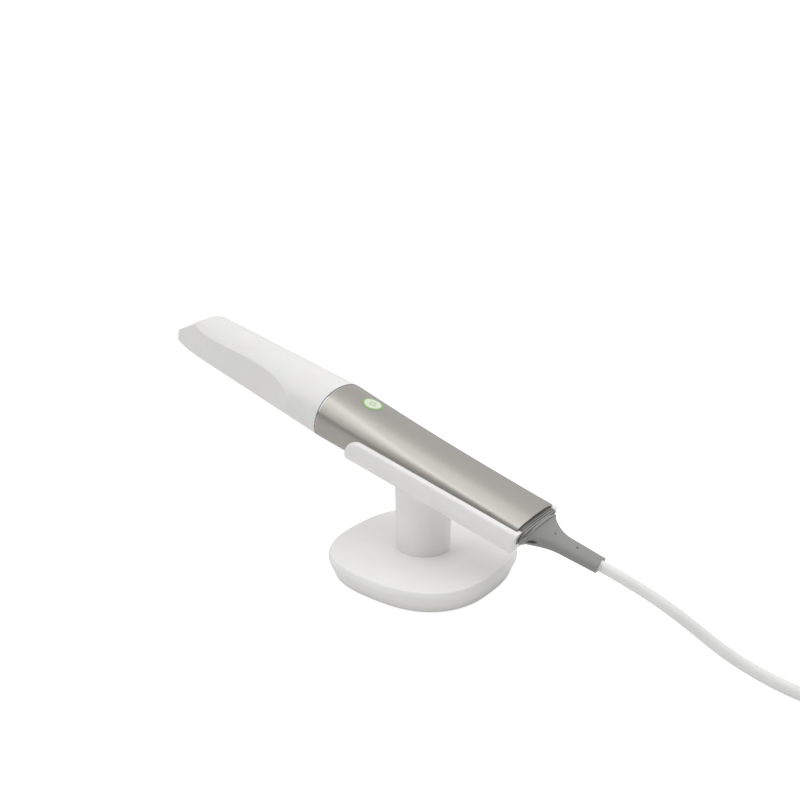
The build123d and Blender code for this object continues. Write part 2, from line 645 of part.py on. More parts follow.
def inner_lead():
    """Lead from the socket on the board to the root of the cable."""
    high = board_upper + SOCKET_HEIGHT / 2
    bend = (SLEEVE_LENGTH - SPIGOT_LENGTH - BOARD_REAR_X) / 4
    path = FilletPolyline((BOARD_REAR_X, 0, high), (BOARD_REAR_X + bend, 0, high),
                          (SLEEVE_LENGTH - SPIGOT_LENGTH - bend, 0, BOOT_AXIS),
                          (SLEEVE_LENGTH - SPIGOT_LENGTH, 0, BOOT_AXIS), radius=INNER_LEAD_BEND)
    return sweep(Plane(origin=path @ 0, z_dir=path % 0) * Circle(INNER_LEAD_RADIUS), path=path)


def spigot(gap, start, end):
    half_width, half_height = SPIGOT_HALF_WIDTH + gap, SPIGOT_HALF_HEIGHT + gap
    return block((start, end), (-half_width, half_width), (BOOT_AXIS - half_height, BOOT_AXIS + half_height))


def tail_cap():
    """Cap in the end of the sleeve: a hollow plug, rear pads for the bench and a ribbed collar."""
    plug = tail_slice(plug_inset, -CAP_PLUG, 0)
    plug -= tail_slice(plug_inset + CAP_WALL, -CAP_PLUG - PAST, -CAP_WALL)
    collar = tail_slice(CAP_INSET + RIB_DEPTH, -CAP_WALL / 2, CAP_REACH)
    for i in range(CAP_RIBS):
        start = RIB_START + i * RIB_PITCH
        collar += tail_slice(CAP_INSET, start, start + RIB_WIDTH)
    cap = plug + collar + bench_pads(rear_pad_x[0], SLEEVE_LENGTH - CAP_PLUG + PAST)
    bore = spigot(SPIGOT_GAP, SLEEVE_LENGTH - 2 * CAP_PLUG, SLEEVE_LENGTH + 2 * CAP_REACH)
    return cap - bore - bench_screw_holes()


def boot_section(x, half_width, half_height, middle, lean, power):
    """Lens-shaped or oval section of the boot, leaning with its top to the rear."""
    points = []
    for i in range(OUTLINE_POINTS):
        turn = 2 * pi * i / OUTLINE_POINTS
        y = half_width * copysign(abs(cos(turn)) ** (2 / power), cos(turn))
        z = half_height * copysign(abs(sin(turn)) ** (2 / power), sin(turn))
        points.append(Vector(x + lean * z, y, middle + z))
    return Face(Wire([Edge.make_spline(points, periodic=True)]))


def cable_boot():
    """Soft boot: an oval flange against the collar, a flare, and an oval sleeve round the cable."""
    flange_x = SLEEVE_LENGTH + CAP_REACH
    edge = boot_section(flange_x + tail_lean * (FLANGE_AXIS - WIDEST_HEIGHT), FLANGE_HALF_WIDTH,
                        FLANGE_HALF_HEIGHT, FLANGE_AXIS, tail_lean, FLANGE_POWER)
    flange = extrude(edge, amount=FLANGE_THICKNESS, dir=(1, 0, 0))
    flange = fillet(flange.edges().group_by(Axis.X)[-1], FLANGE_EDGE)
    sections = []
    for i in range(FLARE_STEPS + 1):
        share = i / FLARE_STEPS
        fade = (1 - share) ** BOOT_FLARE
        middle = blend(BOOT_AXIS, FLANGE_AXIS, fade)
        lean = tail_lean * fade
        x = blend(flange_x + FLANGE_THICKNESS / 2, BOOT_NECK_X, share) + lean * (middle - WIDEST_HEIGHT)
        sections.append(boot_section(x, blend(BOOT_NECK_HALF_WIDTH, FLANGE_HALF_WIDTH - FLANGE_STEP, fade),
                                     blend(BOOT_NECK_HALF_HEIGHT, FLANGE_HALF_HEIGHT - FLANGE_STEP, fade),
                                     middle, lean, blend(BOOT_POWER, FLANGE_POWER, fade)))
    end = boot_section(BOOT_END_X, BOOT_END_HALF_WIDTH, BOOT_END_HALF_HEIGHT, BOOT_AXIS, 0, BOOT_POWER)
    boot = flange + loft(sections) + loft([sections[-1], end])
    boot += spigot(0, SLEEVE_LENGTH - SPIGOT_LENGTH, flange_x + FLANGE_THICKNESS / 2)
    for side in (-1, 1):
        mouth = Plane(origin=(NOTCH_X, side * REACH, NOTCH_Z), x_dir=(1, 0, 0), z_dir=(0, -side, 0))
        boot -= extrude(mouth * Ellipse(NOTCH_LENGTH / 2, NOTCH_HEIGHT / 2), amount=REACH - NOTCH_FLOOR)
    for x, y, surface in BOOT_DIMPLES:
        boot -= rod(BOOT_DIMPLE_RADIUS, (x, y, surface - BOOT_DIMPLE_DEPTH), (x, y, BOOT_NECK_HALF_HEIGHT))
    return boot


post_foot = BASE_TOP + BASE_DOME - SEAT_DEPTH
post_screw_turns = [2 * pi * i / POST_SCREWS for i in range(POST_SCREWS)]
post_screw_places = [(POST_BOSS_CIRCLE * cos(turn), POST_BOSS_CIRCLE * sin(turn))
                     for turn in post_screw_turns]
post_screw_seat = WEIGHT_LOW + POST_SCREW_HEAD_HEIGHT
post_screw_reach = post_foot + POST_SCREW_GRIP - post_screw_seat


def post_screw_holes(start, end, radius=POST_SCREW_RADIUS + SCREW_HOLE_GAP):
    return [rod(radius, (x, y, start), (x, y, end)) for x, y in post_screw_places]


def cradle_outline():
    """Side of the cradle's trough, with its rounded front corner."""
    low = -KEEL_DEPTH - 2 * CRADLE_WALL
    rear = SLEEVE_LENGTH + CRADLE_REAR_REACH
    body = side_prism([(CRADLE_FRONT_LOW_X, low), (CRADLE_FRONT_TOP_X, CRADLE_TOP_FRONT),
                       (rear + tail_lean * (CRADLE_TOP_REAR - WIDEST_HEIGHT), CRADLE_TOP_REAR),
                       (rear + tail_lean * (low - WIDEST_HEIGHT), low)])
    corner = body.edges().filter_by(Axis.Y).sort_by(Axis.Z)[-1]
    return fillet(corner, CRADLE_FRONT_CORNER)


def below(height):
    """Everything lower than height, square to the scanner's centre line, in the world frame."""
    return rest * block((-2 * REACH, 4 * REACH), (-REACH, REACH), (-3 * REACH, height))


def post_form(inset, height):
    """The post, which widens slightly upwards, drawn in by inset and cut off square to the centre line."""
    tall = AXIS_HEIGHT - post_foot
    cone = Pos(0, 0, post_foot + tall / 2) * Cone(POST_FOOT_RADIUS - inset, POST_TOP_RADIUS - inset, tall)
    return cone & below(height)


def cradle():
    """Trough and post in one moulding."""
    front, rear = CRADLE_FRONT_LOW_X - CRADLE_FRONT_CORNER, SLEEVE_LENGTH + TAIL_MARGIN
    cavity = sleeve_form(-CRADLE_CLEARANCE, front, rear) - behind_tail(LIP_CLEARANCE)
    trough = sleeve_form(-CRADLE_CLEARANCE - CRADLE_WALL, front, rear) & cradle_outline()
    rim = [edge for edge in trough.edges()
           if abs((edge @ 0.5).Y) > CRADLE_WALL and (edge @ 0.5).X < SLEEVE_LENGTH - CRADLE_WALL]
    moulding = rest * fillet(rim, CRADLE_EDGE) + post_form(0, POST_TOP)
    middles = [(edge, edge @ 0.5) for edge in moulding.edges()]
    joint = [edge for edge, middle in middles
             if Vector(middle.X, middle.Y).length < POST_TOP_RADIUS and middle.Z > AXIS_HEIGHT / 2]
    moulding = fillet(joint, POST_BLEND)
    moulding -= rest * (cavity + sleeve_form(LIP_INSET, SLEEVE_LENGTH - TAIL_MARGIN, rear))
    moulding -= post_form(POST_WALL, -KEEL_DEPTH - CRADLE_CLEARANCE - POST_ROOF)
    for x, y in post_screw_places:
        moulding += rod(POST_BOSS_RADIUS, (x, y, post_foot), (x, y, post_foot + POST_BOSS_HEIGHT))
    return moulding - post_screw_holes(post_foot - PAST, post_foot + POST_SCREW_GRIP + PAST)


def rounded_square(half, z):
    """Superellipse outline of the base at height z."""
    points = []
    for i in range(2 * OUTLINE_POINTS):
        turn = pi * i / OUTLINE_POINTS
        x = half * copysign(abs(cos(turn)) ** (2 / BASE_POWER), cos(turn))
        y = half * copysign(abs(sin(turn)) ** (2 / BASE_POWER), sin(turn))
        points.append(Vector(x, y, z))
    return Face(Wire([Edge.make_spline(points, periodic=True)]))


widest_z = BASE_TOP - BASE_BULGE_DROP
side_taper = (BASE_BULGE + BASE_FOOT_INSET) / (widest_z - BASE_FOOT_GAP)
shoulder_taper = BASE_BULGE / BASE_BULGE_DROP


def rounding(before, corner, after):
    """Points of the curve that rounds a corner of the base's profile, from before to after."""
    shares = [i / BASE_ROUND_STEPS for i in range(BASE_ROUND_STEPS + 1)]
    return [tuple(blend(blend(b, c, share), blend(c, a, share), share)
                  for b, c, a in zip(before, corner, after)) for share in shares]


def domed(profile, inset):
    """Solid on a profile of half widths and heights, under the dome of the base drawn in by inset."""
    sides = loft([rounded_square(half, z) for half, z in profile], ruled=True)
    radius = BASE_HALF ** 2 / (2 * BASE_DOME)
    return sides & (Pos(0, 0, BASE_TOP + BASE_DOME - inset - radius) * Sphere(radius))


def base_outside():
    """Sides that taper to the foot and close in above the widest line, with both edges rounded."""
    half, near = BASE_HALF + BASE_BULGE, BASE_CREASE_ROUND
    profile = [(BASE_HALF - BASE_FOOT_INSET, BASE_FOOT_GAP)]
    profile += rounding((half - side_taper * BASE_BULGE_ROUND, widest_z - BASE_BULGE_ROUND), (half, widest_z),
                        (half - shoulder_taper * BASE_BULGE_ROUND, widest_z + BASE_BULGE_ROUND))
    crease = rounding((BASE_HALF + shoulder_taper * near, BASE_TOP - near), (BASE_HALF, BASE_TOP),
                      (BASE_HALF - near, BASE_TOP))
    (before_half, before_z), (last_half, last_z) = crease[-3:-1]
    through_dome = (3 * last_half - 2 * before_half, 3 * last_z - 2 * before_z)
    return domed([*profile, *crease[:-1], through_dome], 0)


def base_inside():
    """Hollow of the base, drawn in by its wall."""
    half = BASE_HALF + BASE_BULGE - BASE_WALL
    low, crest = BASE_FOOT_GAP - PAST, BASE_TOP + BASE_DOME
    return domed([(half - side_taper * (widest_z - low), low), (half, widest_z),
                  (half - shoulder_taper * (crest - widest_z), crest)], BASE_WALL)


def base_cover():
    """Hollow base: domed top with a seat for the post and a hub that bears on the weight."""
    cover = base_outside() - base_inside()
    cover += rod(HUB_RADIUS, (0, 0, WEIGHT_LOW + WEIGHT_THICKNESS), (0, 0, post_foot))
    cover -= rod(POST_FOOT_RADIUS + SEAT_GAP, (0, 0, post_foot), (0, 0, post_foot + SEAT_DEPTH + PAST))
    return cover - post_screw_holes(WEIGHT_LOW, post_foot + PAST)


def base_weight():
    weight = extrude(rounded_square(BASE_HALF - WEIGHT_INSET, WEIGHT_LOW), amount=WEIGHT_THICKNESS)
    pockets = post_screw_holes(WEIGHT_LOW - PAST, post_screw_seat, POST_SCREW_HEAD_RADIUS + SCREW_HOLE_GAP)
    return weight - post_screw_holes(WEIGHT_LOW, WEIGHT_LOW + WEIGHT_THICKNESS + PAST) - pockets


foot_pad_top = BASE_FOOT_GAP + FOOT_PAD_RECESS
foot_pad_radius = BASE_HALF - FOOT_PAD_INSET


def base_plate():
    plate = extrude(rounded_square(BASE_HALF - BASE_FOOT_INSET - BASE_WALL - PLATE_GAP, BASE_FOOT_GAP),
                    amount=WEIGHT_LOW - BASE_FOOT_GAP)
    return plate - rod(foot_pad_radius + FOOT_PAD_GAP, (0, 0, 0), (0, 0, foot_pad_top))


def foot_pad():
    return rod(foot_pad_radius, (0, 0, 0), (0, 0, foot_pad_top))


def world_point(x, z):
    """Point of the scanner's middle plane in the world frame."""
    turn = radians(TILT)
    ahead = x - SEAM_AHEAD
    return (cos(turn) * ahead + sin(turn) * z, 0, AXIS_HEIGHT - sin(turn) * ahead + cos(turn) * z)


coil_start_x = COIL_CENTRE_X - COIL_STUB
outer_turn = COIL_INNER_TURN + (COIL_TURNS_ACROSS - 1) * COIL_PITCH
last_turn = outer_turn + COIL_PITCH
plug_y = outer_turn + last_turn
tail_end_x = COIL_CENTRE_X - PLUG_TAIL
housing_x = tail_end_x - PLUG_RELIEF
contact_x = housing_x - PLUG_LENGTH
plug_z = PLUG_HEIGHT / 2
cable_route = [world_point(BOOT_END_X, BOOT_AXIS), world_point(BOOT_END_X + FREE_RUN, BOOT_AXIS),
               *CABLE_POINTS, (coil_start_x, 0, CABLE_FLOOR)]


def cable():
    """Tube along the cable's route from the boot to the coil, as straight runs and tangent arcs."""
    points = [Vector(*p) for p in cable_route]
    runs = [b - a for a, b in zip(points, points[1:])]
    turns = [(min(a.length, b.length), radians(a.get_angle(b))) for a, b in zip(runs, runs[1:])]
    radii = [ARC_SHARE * shorter / tan(turn / 2) for shorter, turn in turns]
    print("cable radii", [round(r, 1) for r in radii])
    path = FilletPolyline(*points, radius=radii)
    tube = sweep(Plane(origin=path @ 0, z_dir=path % 0) * Circle(CABLE_RADIUS), path=path)
    print("cable length", round(path.length, 1))
    print("cable volume ratio", tube.volume / (pi * CABLE_RADIUS ** 2 * path.length))
    return tube


def cable_coil():
    """Outer shape of the wound cable, with the straight leads into and out of it."""
    centre = Pos(COIL_CENTRE_X, outer_turn, 0)
    low = CABLE_FLOOR - CABLE_RADIUS
    height = 2 * CABLE_FLOOR + (COIL_LAYERS - 1) * COIL_PITCH
    ring = rod(outer_turn + CABLE_RADIUS + COIL_SLACK, (0, 0, low), (0, 0, height))
    ring = fillet(ring.edges(), COIL_EDGE)
    ring -= rod(COIL_INNER_TURN - CABLE_RADIUS, (0, 0, 0), (0, 0, height + PAST))
    rolling = revolve(Plane.XZ * Pos(outer_turn, CABLE_FLOOR) * Circle(COIL_PITCH + CABLE_RADIUS),
                      Axis.Z, ROLL_DOWN)
    rolling &= block((-2 * REACH, 2 * REACH), (-2 * REACH, 2 * REACH), (low, height))
    last = revolve(Plane.XZ * Pos(last_turn, CABLE_FLOOR) * Circle(CABLE_RADIUS), Axis.Z, 90)
    coil = centre * (ring + rolling.rotate(Axis.Z, -ROLL_DOWN) + last)
    coil += rod(CABLE_RADIUS, (coil_start_x, 0, CABLE_FLOOR), (COIL_CENTRE_X, 0, CABLE_FLOOR))
    return coil + rod(CABLE_RADIUS, (COIL_CENTRE_X, plug_y, CABLE_FLOOR), (tail_end_x, plug_y, CABLE_FLOOR))


def plug_relief():
    """Tapered strain relief behind the plug."""
    thin = Plane(origin=(tail_end_x, plug_y, CABLE_FLOOR), z_dir=(-1, 0, 0)) * Circle(CABLE_RADIUS)
    thick = Plane(origin=(housing_x, plug_y, plug_z), z_dir=(-1, 0, 0)) * Circle(plug_z)
    return loft([thin, thick])


def plug_housing():
    body = block((contact_x, housing_x), (plug_y - PLUG_WIDTH / 2, plug_y + PLUG_WIDTH / 2), (0, PLUG_HEIGHT))
    body = fillet(body.edges().filter_by(Axis.X), PLUG_CORNER)
    half = CONTACT_WIDTH / 2 - CONTACT_WALL - TONGUE_GAP
    return body + block((contact_x - CONTACT_LENGTH + PAST, contact_x), (plug_y - half, plug_y + half),
                        (plug_z, plug_z + CONTACT_HEIGHT / 2 - CONTACT_WALL - TONGUE_GAP))


def plug_contact():
    half, high = CONTACT_WIDTH / 2, CONTACT_HEIGHT / 2
    front = contact_x - CONTACT_LENGTH
    shell = block((front, contact_x), (plug_y - half, plug_y + half), (plug_z - high, plug_z + high))
    half -= CONTACT_WALL
    high -= CONTACT_WALL
    return shell - block((front - PAST, contact_x + PAST), (plug_y - half, plug_y + half),
                         (plug_z - high, plug_z + high))


def scanner_pieces():
    """Every piece of the scanner, in its own frame."""
    pieces = {
        "tip_shell": tip_shell(), "tip_mirror": tip_mirror(), "sleeve_shell": sleeve_shell(),
        "trim_ring": trim_ring(), "nose_barrel": nose_barrel(), "nose_glass": nose_glass(),
        "nose_seal": nose_seal(),
        "button_cap": button_cap(), "light_ring": light_ring(), "button_board": button_board(),
        "button_switch": button_switch(), "button_bridge": button_bridge(), "optical_bench": optical_bench(),
        "projector": projector(), "projector_lens": projector_lens(), "camera_left": camera(1),
        "camera_right": camera(-1), "camera_lens_left": camera_lens(1), "camera_lens_right": camera_lens(-1),
        "main_board": main_board(), "processor_chip": processor_chip(), "heat_sink": heat_sink(),
        "cable_socket": cable_socket(), "inner_lead": inner_lead(), "tail_cap": tail_cap(),
        "cable_boot": cable_boot()}
    for i, place in enumerate(bench_screw_places):
        pieces[f"bench_screw_{i + 1}"] = small_screw(place, bench_top, BENCH_THICKNESS + SCREW_GRIP)
    for i, place in enumerate(board_screw_places):
        pieces[f"board_screw_{i + 1}"] = small_screw(place, board_upper, BOARD_THICKNESS + BOARD_LIFT)
    return pieces


def stand_pieces():
    """Every piece of the stand and of the cable, in the world frame."""
    pieces = {
        "cradle": cradle(), "base_cover": base_cover(), "base_weight": base_weight(),
        "base_plate": base_plate(), "foot_pad": foot_pad(), "cable": cable(), "cable_coil": cable_coil(),
        "plug_relief": plug_relief(), "plug_housing": plug_housing(), "plug_contact": plug_contact()}
    for i, (x, y) in enumerate(post_screw_places):
        upright = screw(x, -y, -post_screw_seat, post_screw_reach, POST_SCREW_RADIUS, POST_SCREW_HEAD_RADIUS,
                        POST_SCREW_HEAD_HEIGHT)
        pieces[f"post_screw_{i + 1}"] = upright.rotate(Axis.X, 180)
    return pieces


with SkipClean():
    pieces = {name: rest * piece for name, piece in scanner_pieces().items()} | stand_pieces()

for name, piece in pieces.items():
    export_step(piece, f"parts/{name}.step")
    print(f"{name}: {len(piece.solids())} solid, {piece.volume:.0f} mm3")
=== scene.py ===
# %% [markdown]
# # An intraoral scanner in its cradle
#
# A dentist moves this scanner along the teeth: light leaves a window at the thin end, and a mirror
# inside turns the view by a right angle. Between patients it lies nose-up in a cradle on a heavy
# base. The engineering model gives every solid in its true place. This lesson adds a camera, the
# light, a real cable, the finish of each material and the sign on the button.

# %% Load the frame
import json
from math import atan2, cos, pi, radians, sin

import bpy
from mathutils import Matrix, Vector


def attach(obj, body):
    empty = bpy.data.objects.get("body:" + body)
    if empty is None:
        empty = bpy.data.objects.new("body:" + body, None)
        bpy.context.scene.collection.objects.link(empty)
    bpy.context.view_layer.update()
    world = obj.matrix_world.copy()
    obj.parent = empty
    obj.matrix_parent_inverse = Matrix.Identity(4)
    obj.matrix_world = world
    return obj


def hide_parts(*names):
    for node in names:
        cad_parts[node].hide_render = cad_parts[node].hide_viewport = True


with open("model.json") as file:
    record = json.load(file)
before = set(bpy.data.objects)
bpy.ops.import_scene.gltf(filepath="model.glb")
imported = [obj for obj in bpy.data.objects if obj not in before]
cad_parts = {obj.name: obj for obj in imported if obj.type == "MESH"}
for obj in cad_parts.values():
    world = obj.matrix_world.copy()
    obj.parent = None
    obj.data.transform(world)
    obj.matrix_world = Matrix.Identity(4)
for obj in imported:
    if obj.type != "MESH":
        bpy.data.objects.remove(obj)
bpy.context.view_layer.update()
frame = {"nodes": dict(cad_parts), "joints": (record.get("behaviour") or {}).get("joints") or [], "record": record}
nodes = frame["nodes"]
bpy.ops.object.select_all(action="DESELECT")

# %% [markdown]
# ## The camera
#
# The picture was taken from the near right, a little above the scanner. A camera can be aimed by
# eye, but here it stands where the straight edges of the scanner and the rim of the base fall on
# the same lines as in the picture, which fixes its place and its lens together.

# %% Place the camera
CAMERA_PLACE = Vector((0.24151, -0.34116, 0.22274))
CAMERA_RIGHT = Vector((0.79604, 0.60524, 0.0))
CAMERA_UP = Vector((-0.16294, 0.21431, 0.96308))
LENS_MM = 33.75
SENSOR_MM = 36.0

bpy.ops.object.camera_add(location=CAMERA_PLACE)
camera = bpy.context.object
camera.name = "camera"
camera_axes = Matrix((CAMERA_RIGHT, CAMERA_UP, CAMERA_RIGHT.cross(CAMERA_UP))).transposed()
camera.matrix_world = Matrix.Translation(CAMERA_PLACE) @ camera_axes.to_4x4()
camera.data.sensor_width = SENSOR_MM
camera.data.lens = LENS_MM
camera.data.clip_start = 0.01
bpy.context.scene.camera = camera
print("camera is", round(CAMERA_PLACE.length, 3), "m from the foot")

# %% [markdown]
# ## The cable's way over the table
#
# The real lead is about 2 m of soft white cable, 6.3 mm thick. It leaves the grey boot along the
# scanner's own line, sinks to the table under its weight and runs out of the picture. A cable has
# no corners, so it is one smooth curve through a few points. A curve of low order that is pulled
# by its points, rather than one that passes through them, keeps every bend soft.

# %% Lay the first points
CABLE_RADIUS = 0.00315
CABLE_FLOOR = 0.0032            # height of the centre line where the cable lies on the table
BOOT_END = Vector((0.11197, 0.0, 0.03619))
FREE_END = Vector((0.13280, 0.0, 0.03088))
LAID_POINTS = [(0.155, 0.0005, 0.0216), (0.178, 0.0012, 0.009), (0.201, 0.001, CABLE_FLOOR),
               (0.224, 0.0, CABLE_FLOOR), (0.2465, 0.0, CABLE_FLOOR)]

cable_points = [BOOT_END, FREE_END, *[Vector(place) for place in LAID_POINTS]]
reach = LAID_POINTS[2][0] - BOOT_END.x
print("cable meets the table", round(1000 * reach), "mm past the boot")

# %% [markdown]
# ## The coil
#
# The rest of the cable is put away as one would by hand: wound inwards in a flat coil of four
# turns, up one layer, outwards again, and down to the table beside the coil, where the plug lies.
# A spiral would grow all the time. A wound cable keeps to a circle and moves over by its own
# thickness in a short stretch of each turn, and so does this one. The points stand a little
# outside the turns, because the curve cuts across them.

# %% Wind the coil
COIL_X = 0.286
COIL_PITCH = 0.0065
INNER_TURN = 0.028
TURNS_ACROSS = 4
OUTER_TURN = INNER_TURN + (TURNS_ACROSS - 1) * COIL_PITCH
PLUG_TAIL = 0.014
POINTS_PER_TURN = 16
# All angles are in degrees from the near side of the coil
FULL_TURN = 360
MOVE_SPAN = 60                  # stretch of a turn in which the cable moves over
FIRST_MOVE_IN = 300
CLIMB = FULL_TURN * (TURNS_ACROSS - 1) + 240
FIRST_MOVE_OUT = CLIMB + 300
ROLL_DOWN = FULL_TURN * (2 * TURNS_ACROSS - 1) + 30
COIL_END = FULL_TURN * (2 * TURNS_ACROSS - 1) + 180


def moved(angle, start):
    """How far, from 0 to 1, a move that begins at start has come at angle."""
    share = min(max((angle - start) / MOVE_SPAN, 0.0), 1.0)
    return share * share * (3 - 2 * share)


def coil_place(angle):
    """Radius and height of the wound cable at angle."""
    turns = range(TURNS_ACROSS - 1)
    inward = sum(moved(angle, FIRST_MOVE_IN + FULL_TURN * turn) for turn in turns)
    outward = sum(moved(angle, FIRST_MOVE_OUT + FULL_TURN * turn) for turn in turns)
    radius = OUTER_TURN + COIL_PITCH * (outward - inward)
    height = CABLE_FLOOR + COIL_PITCH * moved(angle, CLIMB)
    roll = moved(angle, ROLL_DOWN) * pi / 2
    if roll > 0:
        radius = OUTER_TURN + COIL_PITCH * sin(roll)
        height = CABLE_FLOOR + COIL_PITCH * cos(roll)
    return radius, height


point_step = FULL_TURN / POINTS_PER_TURN
pull = cos(radians(point_step / 2))
for count in range(round(COIL_END / point_step)):
    angle = (count + 0.5) * point_step
    radius, height = coil_place(angle)
    direction = radians(angle - 90)
    cable_points.append(Vector((COIL_X + radius / pull * cos(direction),
                                OUTER_TURN + radius / pull * sin(direction), height)))
plug_y = OUTER_TURN + coil_place(COIL_END)[0]
cable_points.append(Vector((COIL_X, plug_y, CABLE_FLOOR)))
cable_points.append(Vector((COIL_X - PLUG_TAIL, plug_y, CABLE_FLOOR)))
print("coil is", round(2000 * (OUTER_TURN + CABLE_RADIUS)), "mm across and has",
      COIL_END / FULL_TURN, "turns")

# %% [markdown]
# ## The cable itself
#
# The points become one open spline with a round section. The thickness is given as the radius of
# the points, because a curve's box is measured with that radius. The last lines hang the cable on
# the scanner and hide the two plain solids that stand for it in the engineering model, whose place
# it takes.

# %% Make the cable
curve = bpy.data.curves.new("cable_curve", "CURVE")
curve.dimensions = "3D"
curve.bevel_depth = 1.0
curve.bevel_resolution = 6
curve.use_fill_caps = True
spline = curve.splines.new("NURBS")
spline.points.add(len(cable_points) - 1)
for point, place in zip(spline.points, cable_points):
    point.co = (*place, 1)
    point.radius = CABLE_RADIUS
spline.order_u = 3
spline.use_endpoint_u = True
spline.resolution_u = 6
white_cable = bpy.data.objects.new("white_cable", curve)
bpy.context.scene.collection.objects.link(white_cable)
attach(white_cable, "scanner")
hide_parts("cable", "cable_coil")
print("cable has", len(cable_points), "points")

# %% [markdown]
# ## The room's light
#
# The picture is a bright studio shot on pure white, and yet the white plastic shows its form. That
# takes two whites: the room that the camera sees is a little over full white, and the room that
# lights the scanner is bright overhead and behind, and dim at the near horizon, so that tops come
# out white and the near sides a shade greyer. One even white room would leave the forms flat. A
# light path node tells the two apart for the backdrop.

# %% Make the room
WHITE = (1.0, 1.0, 1.0, 1.0)
BRIGHT_SIDE = (0.0, 0.45, 1.0)  # overhead and a little behind
HORIZON_LIGHT = 0.28
OVERHEAD_LIGHT = 0.90
FADE_START = 0.05
FADE_END = 0.8
BACKDROP_LIGHT = 1.06


def node_tree(owner):
    """Empty node tree of a world or material, as its nodes and links."""
    owner.use_nodes = True
    owner.node_tree.nodes.clear()
    return owner.node_tree.nodes, owner.node_tree.links


world = bpy.data.worlds.new("studio")
bpy.context.scene.world = world
world_nodes, world_links = node_tree(world)
where = world_nodes.new("ShaderNodeTexCoord")
lean_back = world_nodes.new("ShaderNodeVectorMath")
lean_back.operation = "DOT_PRODUCT"
lean_back.inputs[1].default_value = BRIGHT_SIDE
fade = world_nodes.new("ShaderNodeMapRange")
fade.interpolation_type = "SMOOTHSTEP"
fade.inputs["From Min"].default_value = FADE_START
fade.inputs["From Max"].default_value = FADE_END
fade.inputs["To Min"].default_value = HORIZON_LIGHT
fade.inputs["To Max"].default_value = OVERHEAD_LIGHT
sky = world_nodes.new("ShaderNodeBackground")
sky.inputs["Color"].default_value = WHITE
backdrop = world_nodes.new("ShaderNodeBackground")
backdrop.inputs["Color"].default_value = WHITE
backdrop.inputs["Strength"].default_value = BACKDROP_LIGHT
world_path = world_nodes.new("ShaderNodeLightPath")
world_mix = world_nodes.new("ShaderNodeMixShader")
world_out = world_nodes.new("ShaderNodeOutputWorld")
world_links.new(where.outputs["Generated"], lean_back.inputs[0])
world_links.new(lean_back.outputs["Value"], fade.inputs["Value"])
world_links.new(fade.outputs["Result"], sky.inputs["Strength"])
world_links.new(world_path.outputs["Is Camera Ray"], world_mix.inputs[0])
world_links.new(sky.outputs[0], world_mix.inputs[1])
world_links.new(backdrop.outputs[0], world_mix.inputs[2])
world_links.new(world_mix.outputs[0], world_out.inputs["Surface"])
bpy.context.scene.view_settings.view_transform = "Standard"
print("room light", HORIZON_LIGHT, "at the horizon,", OVERHEAD_LIGHT, "overhead")

# %% [markdown]
# ## The lamps
#
# A tall softbox stands on the near left, and a panel hangs close above the rear half. Their mirror
# image in the curved metal is the broad light band along the near shoulder of the sleeve. The
# sleeve grows flatter to the rear, so one far lamp would give a band that sinks and thins out. The
# panel is close enough for each place along the sleeve to see another part of its slanting edge,
# which keeps the band's width. The roughness of the metal blurs both edges.

# %% Hang the lamps
SOFTBOX_PLACE = 1.2 * Vector((-0.42, -0.56, 0.71))
SOFTBOX_AIM = Vector((0, 0, 0.07))
SOFTBOX_SIZE = (0.65, 1.4)
SOFTBOX_POWER = 3.3
PANEL_HEIGHT = 0.45
PANEL_EDGE = (Vector((-0.125, -0.03, PANEL_HEIGHT)), Vector((0.035, 0.30, PANEL_HEIGHT)))
PANEL_LENGTH = 0.52
PANEL_WIDTH = 0.40
PANEL_POWER = 0.55
UP = Vector((0, 0, 1))


def soft_lamp(name, place, aim, size, power):
    """Rectangular lamp at place, facing aim."""
    bpy.ops.object.light_add(type="AREA", location=place)
    lamp = bpy.context.object
    lamp.name = name
    lamp.data.shape = "RECTANGLE"
    lamp.data.size, lamp.data.size_y = size
    lamp.data.energy = power
    lamp.rotation_euler = (aim - place).to_track_quat("-Z", "Y").to_euler()
    lamp.visible_camera = False
    return lamp


softbox = soft_lamp("softbox", SOFTBOX_PLACE, SOFTBOX_AIM, SOFTBOX_SIZE, SOFTBOX_POWER)
along = (PANEL_EDGE[1] - PANEL_EDGE[0]).normalized()
across = along.cross(UP)
panel_place = (PANEL_EDGE[0] + PANEL_EDGE[1]) / 2 + across * PANEL_WIDTH / 2
panel = soft_lamp("panel", panel_place, panel_place - UP, (PANEL_LENGTH, PANEL_WIDTH), PANEL_POWER)
panel.rotation_euler = (0, 0, atan2(along.y, along.x))
print("softbox at", [round(value, 2) for value in softbox.location])
print("panel at", [round(value, 2) for value in panel.location])

# %% [markdown]
# ## The floor
#
# A plain white sheet. Seen by the camera it is as white as the backdrop, with only a hint of shade
# under the base. For the light that it throws back it is a little darker, which leaves the sides
# and undersides a shade greyer than the tops.

# %% Lay the floor
FLOOR_SIZE = 60
FLOOR_BOUNCE = (0.88, 0.88, 0.875, 1)
FLOOR_GREY = (0.40, 0.40, 0.40, 1)
FLOOR_GLOW = 0.82

